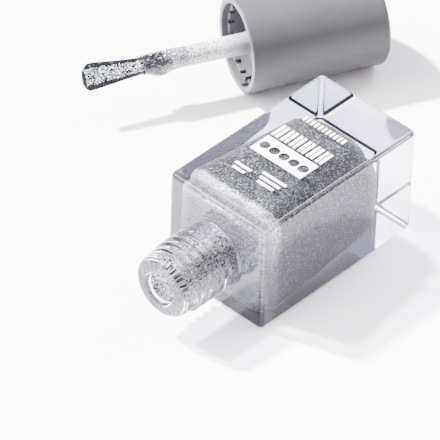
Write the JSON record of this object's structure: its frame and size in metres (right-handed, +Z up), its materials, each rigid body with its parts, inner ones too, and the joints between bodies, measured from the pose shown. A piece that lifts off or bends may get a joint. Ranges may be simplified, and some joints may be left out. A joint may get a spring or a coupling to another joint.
{
  "type": "nail polish bottle",
  "caption": "Square clear glass bottle of silver glitter nail polish lying open on its side, with its round grey screw cap and brush lying beside it.",
  "frame": {"origin": "centre of the side face that the bottle lies on, at the height of the table", "axes": "+X along the bottle from its base to its mouth, +Z up out of the printed face, +Y away from the loose cap"},
  "size_m": [0.097, 0.0704, 0.0251],
  "materials": {
    "clear_glass": "clear, polished",
    "glitter_polish": "wet lacquer full of fine silver glitter",
    "white_ink": "printed ink",
    "satin_grey": "satin",
    "pale_grey_plastic": "semi-matte moulded",
    "liner_foam": "matte foamed plastic",
    "milky_plastic": "milky, wet with polish near the bristles",
    "staple_wire": "plain",
    "dark_bristle": "fine filaments",
    "coated_bristle": "wet filaments coated with glitter"
  },
  "bodies": {
    "bottle": {"glass_bottle": "clear_glass", "polish": "glitter_polish", "front_print": "white_ink"},
    "overcap": {"overcap": "satin_grey"},
    "liner": {"seal_liner": "liner_foam"},
    "closure": {"inner_cap": "pale_grey_plastic", "brush_stem": "milky_plastic", "staple": "staple_wire", "tuft_root": "dark_bristle"},
    "tuft": {"bristle_tuft": "coated_bristle"}
  },
  "joints": [
    {"name": "cap_swing", "type": "hinge", "parent": "bottle", "child": "overcap", "pos_m": [0.0256, -0.03212, 0], "axis": [-0.0087, -0.0384, 0.9992], "range_deg": [0, 205.58]},
    {"name": "closure_slide", "type": "slide", "parent": "overcap", "child": "liner", "axis": [0.9018, -0.4321, 0], "range_m": [0, 0.0491]},
    {"name": "closure_turn", "type": "hinge", "parent": "liner", "child": "closure", "pos_m": [-0.0295, -0.0423, 0.01], "axis": [0.9018, -0.4321, 0], "range_deg": [0, 8337.7], "deforming": ["polish"]},
    {"name": "bristle_flex", "type": "hinge", "parent": "closure", "child": "tuft", "pos_m": [-0.01061, -0.05135, 0.01], "axis": [-0.2777, -0.5797, 0.766], "range_deg": [-20, 20], "stiffness_Nm_per_rad": 0.001}
  ],
  "couplings": [
    {"joint": "closure_slide", "follows": "closure_turn", "m_per_rad": 0.00033741}
  ]
}
